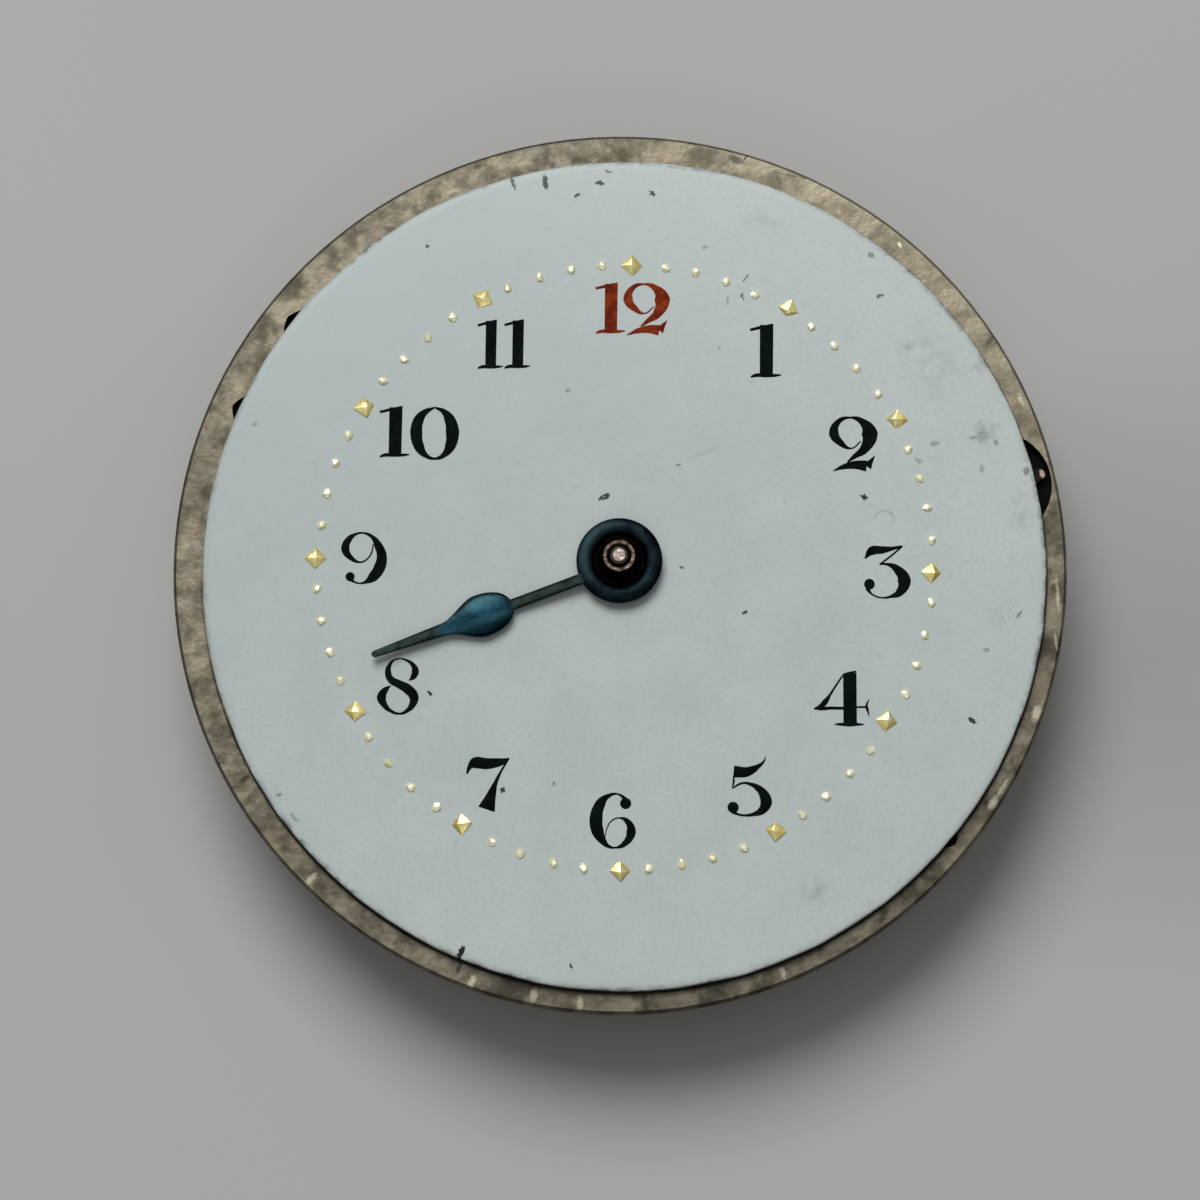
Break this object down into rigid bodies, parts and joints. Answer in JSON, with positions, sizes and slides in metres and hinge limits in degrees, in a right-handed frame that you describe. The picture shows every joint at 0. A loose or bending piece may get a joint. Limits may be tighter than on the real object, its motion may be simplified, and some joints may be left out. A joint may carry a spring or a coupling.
{
  "type": "watch movement",
  "caption": "Round lever watch movement with an enamel dial, gilt hour markers, one blued pear hour hand, going train, winding wheels and pin-set keyless work.",
  "frame": {"origin": "on the centre arbor's axis, at the lowest plane of the bridge side", "axes": "+Z towards the dial, +X to 3 o'clock along the winding stem's bore, +Y to 12 o'clock"},
  "size_m": [0.0293, 0.0292, 0.0067],
  "materials": {
    "nickel_plate": "satin",
    "nickel_bridge": "satin",
    "white_enamel": "gloss",
    "gilt": "gloss",
    "copper": "satin",
    "train_brass": "satin",
    "polished_steel": "polished",
    "blued_steel": "gloss",
    "blued_screw": "gloss",
    "spring_steel": "satin",
    "ruby": "polished"
  },
  "bodies": {
    "frame": {"main_plate": "nickel_plate", "enamel_dial": "white_enamel", "dial_feet": "copper", "hour_pips": "gilt", "minute_pips": "gilt", "barrel_bridge": "nickel_bridge", "centre_bridge": "nickel_bridge", "fourth_wheel_cock": "nickel_bridge", "escape_wheel_cock": "nickel_bridge", "pallet_cock": "nickel_bridge", "balance_cock": "nickel_bridge", "bridge_screws": "blued_screw", "small_screws": "blued_screw", "shoulder_screws": "blued_screw", "end_piece_screws": "blued_screw", "plate_jewels": "ruby", "cock_jewels": "ruby", "end_piece": "polished_steel", "hairspring_stud": "polished_steel", "hairspring": "blued_steel", "click_spring": "spring_steel", "crown_wheel_core": "polished_steel", "crown_wheel_screw": "blued_screw", "setting_cover": "polished_steel", "plate_pins": "polished_steel", "lever_spring": "spring_steel", "mainspring": "spring_steel"},
    "barrel": {"barrel_drum": "train_brass", "barrel_cover": "train_brass"},
    "barrel_core": {"barrel_arbor": "polished_steel", "ratchet_wheel": "polished_steel", "ratchet_screw": "blued_screw"},
    "centre": {"centre_arbor": "polished_steel", "centre_wheel": "train_brass"},
    "third": {"third_arbor": "polished_steel", "third_wheel": "train_brass"},
    "fourth": {"fourth_arbor": "polished_steel", "fourth_wheel": "train_brass"},
    "escape": {"escape_arbor": "polished_steel", "escape_wheel": "polished_steel"},
    "fork": {"pallet_fork": "polished_steel", "pallet_arbor": "polished_steel", "pallet_stones": "ruby"},
    "balance": {"balance_wheel": "train_brass", "balance_screws": "train_brass", "balance_staff": "polished_steel", "roller": "polished_steel", "impulse_pin": "ruby", "collet": "train_brass"},
    "regulator": {"regulator": "polished_steel"},
    "cannon": {"cannon_pinion": "polished_steel"},
    "minute": {"minute_wheel": "train_brass"},
    "hour": {"hour_wheel": "train_brass", "hour_hand": "blued_steel"},
    "setting": {"setting_wheel": "polished_steel"},
    "crown": {"crown_wheel": "polished_steel"},
    "winding": {"winding_pinion": "polished_steel"},
    "clutch": {"clutch": "polished_steel"},
    "setting_lever": {"setting_lever": "polished_steel"},
    "click": {"click": "polished_steel"}
  },
  "joints": [
    {"name": "centre_turn", "type": "hinge", "parent": "frame", "child": "centre", "pos_m": [0, 0, 0.002], "axis": [0, 0, 1], "continuous": true},
    {"name": "barrel_turn", "type": "hinge", "parent": "frame", "child": "barrel", "pos_m": [0.00132, 0.0057, 0.0025], "axis": [0, 0, 1], "continuous": true},
    {"name": "third_turn", "type": "hinge", "parent": "frame", "child": "third", "pos_m": [-0.00399, -0.0007, 0.002], "axis": [0, 0, 1], "continuous": true},
    {"name": "fourth_turn", "type": "hinge", "parent": "frame", "child": "fourth", "pos_m": [-0.00229, -0.00389, 0.0025], "axis": [0, 0, 1], "continuous": true},
    {"name": "escape_turn", "type": "hinge", "parent": "frame", "child": "escape", "pos_m": [-0.00133, -0.00705, 0.0025], "axis": [0, 0, 1], "continuous": true},
    {"name": "cannon_turn", "type": "hinge", "parent": "frame", "child": "cannon", "pos_m": [0, 0, 0.0045], "axis": [0, 0, 1], "continuous": true},
    {"name": "minute_turn", "type": "hinge", "parent": "frame", "child": "minute", "pos_m": [0.0022, -0.00145, 0.0042], "axis": [0, 0, 1], "continuous": true},
    {"name": "hour_turn", "type": "hinge", "parent": "frame", "child": "hour", "pos_m": [0, 0, 0.005], "axis": [0, 0, 1], "continuous": true},
    {"name": "setting_turn", "type": "hinge", "parent": "frame", "child": "setting", "pos_m": [0.00541, 0, 0.0035], "axis": [0, 0, 1], "continuous": true},
    {"name": "ratchet_turn", "type": "hinge", "parent": "frame", "child": "barrel_core", "pos_m": [0.00132, 0.0057, 0.001], "axis": [0, 0, 1], "continuous": true, "deforming": ["mainspring"]},
    {"name": "crown_turn", "type": "hinge", "parent": "frame", "child": "crown", "pos_m": [0.00664, 0, 0.0004], "axis": [0, 0, 1], "continuous": true},
    {"name": "winding_turn", "type": "hinge", "parent": "frame", "child": "winding", "pos_m": [0.0105, 0, 0.00205], "axis": [1, 0, 0], "continuous": true},
    {"name": "lever_swing", "type": "hinge", "parent": "frame", "child": "setting_lever", "pos_m": [0.0103, 0.0054, 0.004], "axis": [0, 0, -1], "range_deg": [0, 6.3], "stiffness_Nm_per_rad": 0.00001, "deforming": ["lever_spring"]},
    {"name": "clutch_slide", "type": "slide", "parent": "winding", "child": "clutch", "axis": [1, 0, 0], "range_m": [-0.000582, 0]},
    {"name": "click_lift", "type": "hinge", "parent": "frame", "child": "click", "pos_m": [0.00604, 0.00939, 0.0002], "axis": [0, 0, -1], "range_deg": [0, 8], "stiffness_Nm_per_rad": 0.000002, "deforming": ["click_spring"]},
    {"name": "fork_swing", "type": "hinge", "parent": "frame", "child": "fork", "pos_m": [0.00109, -0.00705, 0.0026], "axis": [0, 0, 1], "range_deg": [-5, 5]},
    {"name": "balance_swing", "type": "hinge", "parent": "frame", "child": "balance", "pos_m": [0.00439, -0.00705, 0.0017], "axis": [0, 0, 1], "range_deg": [-270, 270], "stiffness_Nm_per_rad": 0.000000188, "deforming": ["hairspring"]},
    {"name": "regulator_swing", "type": "hinge", "parent": "frame", "child": "regulator", "pos_m": [0.00439, -0.00705, 0.0003], "axis": [0, 0, 1], "range_deg": [-20, 20]}
  ],
  "couplings": [
    {"joint": "barrel_turn", "follows": "centre_turn", "ratio": -0.125},
    {"joint": "third_turn", "follows": "centre_turn", "ratio": -8},
    {"joint": "fourth_turn", "follows": "centre_turn", "ratio": 60},
    {"joint": "escape_turn", "follows": "centre_turn", "ratio": -600},
    {"joint": "cannon_turn", "follows": "centre_turn", "ratio": 1},
    {"joint": "minute_turn", "follows": "centre_turn", "ratio": -0.33333},
    {"joint": "hour_turn", "follows": "centre_turn", "ratio": 0.083333},
    {"joint": "setting_turn", "follows": "centre_turn", "ratio": 0.42857},
    {"joint": "crown_turn", "follows": "ratchet_turn", "ratio": -1.2941},
    {"joint": "winding_turn", "follows": "ratchet_turn", "ratio": -3.3846},
    {"joint": "lever_swing", "follows": "clutch_slide", "rad_per_m": -188.68}
  ]
}
